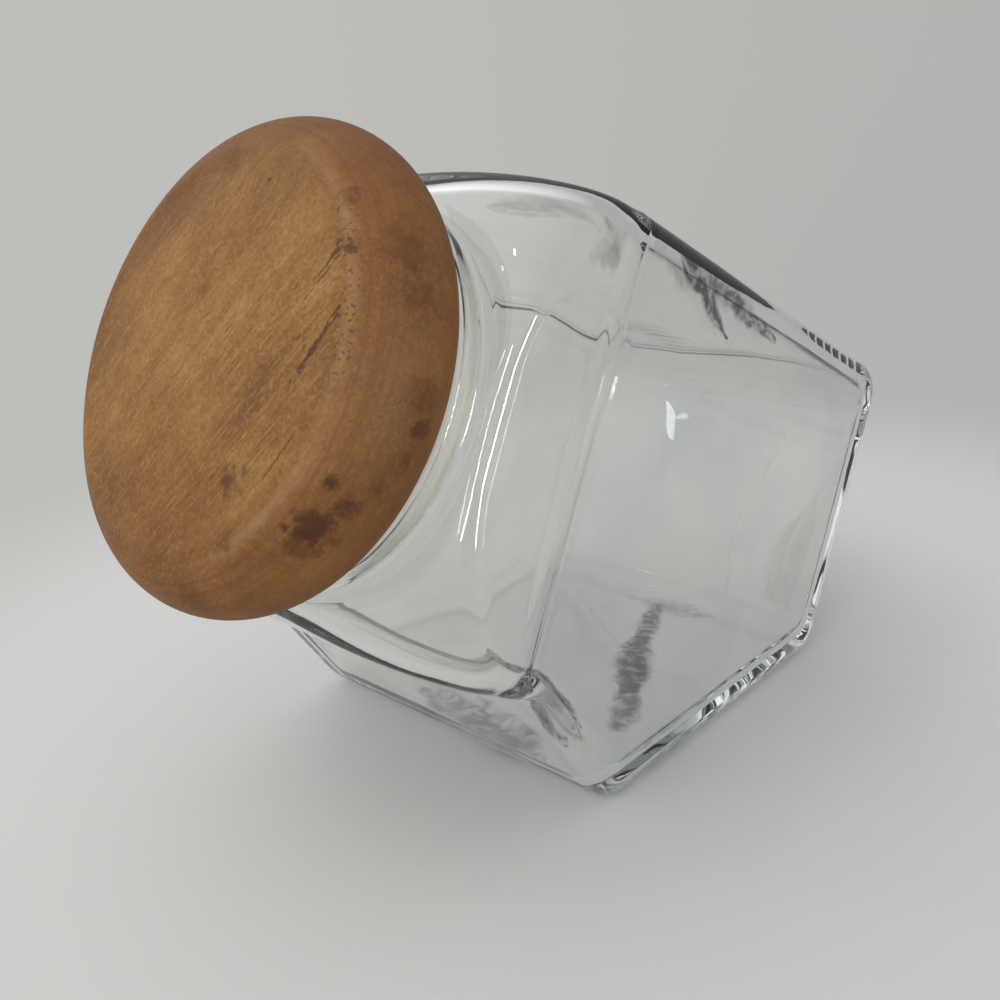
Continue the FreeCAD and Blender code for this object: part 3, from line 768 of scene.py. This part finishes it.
def make_sky():
    """Soft light from the front left and above; what is seen near the horizon has the backdrop's tone."""
    world = bpy.data.worlds.new("studio")
    bpy.context.scene.world = world
    world.use_nodes = True
    n = Nodes(world.node_tree)
    direction = n.add("TexCoord").outputs["Generated"]
    path = n.add("LightPath")
    seen = seen_rays(n, path)

    lobe = n.math("MAXIMUM", n.dot(direction, KEY_DIRECTION), 0.0)
    light = n.math("ADD", n.product(lobe, 1.15), 0.58)
    dimmed = n.product(light, n.math("SUBTRACT", 1.0, n.product(seen, 0.3)))
    white = n.add("Background", {"Color": (1.0, 1.0, 1.0, 1), "Strength": dimmed})
    tone = n.add("Background", {"Color": backdrop_tone(n, direction), "Strength": 1.0})
    height = n.add("SeparateXYZ", {0: direction}).outputs[2]
    low = n.product(seen, n.math("SUBTRACT", 1.0, n.fade(height, 0.08, 0.4)))
    both = n.add("MixShader", {0: low, 1: white.outputs[0], 2: tone.outputs[0]})

    # a dark part of the room, which only glass and gloss show
    not_straight = n.math("SUBTRACT", seen, path.outputs["Is Camera Ray"])
    dark = n.product(n.fade(n.dot(direction, DARK_DIRECTION), 0.93, 0.98), not_straight, 0.6)
    room = n.add("Background", {"Color": (0.03, 0.04, 0.04, 1), "Strength": 1.0})
    both = n.add("MixShader", {0: dark, 1: both.outputs[0], 2: room.outputs[0]})
    n.add("OutputWorld", {"Surface": both.outputs[0]})


def lamp(name, place, target, size, radiance, length=None, mirrored_only=False):
    """Lamp whose face has this brightness, 1 being white; a strip's length runs with LID_UP."""
    light = bpy.data.lights.new(name, "AREA")
    light.shape = "RECTANGLE"
    light.size = size
    light.size_y = length or size
    light.energy = radiance * math.pi * light.size * light.size_y
    item = bpy.data.objects.new(name, light)
    item.location = place
    back = (Vector(place) - Vector(target)).normalized()
    tall = (LID_UP - back * LID_UP.dot(back)).normalized()
    item.rotation_euler = Matrix((tall.cross(back), tall, back)).transposed().to_euler()
    item.visible_diffuse = not mirrored_only
    item.visible_camera = False
    bpy.context.scene.collection.objects.link(item)
    return item


def make_camera():
    """Camera in front of the jar and on its +x side, level with its top and looking down at it."""
    data = bpy.data.cameras.new("camera")
    data.lens = CAMERA_LENS
    data.sensor_width = 36.0
    data.clip_start = 0.01
    camera = bpy.data.objects.new("camera", data)
    forward = CAMERA_FORWARD.normalized()
    right = forward.cross(CAMERA_UP).normalized()
    turn = Matrix((right, right.cross(forward).normalized(), -forward)).transposed()
    camera.matrix_world = Matrix.Translation(CAMERA_PLACE) @ turn.to_4x4()
    bpy.context.scene.collection.objects.link(camera)
    bpy.context.scene.camera = camera


make_floor()
make_sky()
lamp("spark_left", (-0.9, -0.9, 0.9), LAMP_TARGET, 0.035, 90.0)
lamp("spark_top", (-0.3, -0.6, 1.3), LAMP_TARGET, 0.035, 90.0)
lamp("strip_front", (0.34, -1.09, 0.71), LAMP_TARGET, 0.07, 45.0, 0.8, mirrored_only=True)
lamp("strip_right", (1.28, -0.20, 0.20), LAMP_TARGET, 0.06, 110.0, 0.8, mirrored_only=True)
make_camera()
bpy.context.scene.view_settings.view_transform = "Standard"
for bounces in ("max_bounces", "glossy_bounces", "transmission_bounces"):
    setattr(bpy.context.scene.cycles, bounces, BOUNCES)
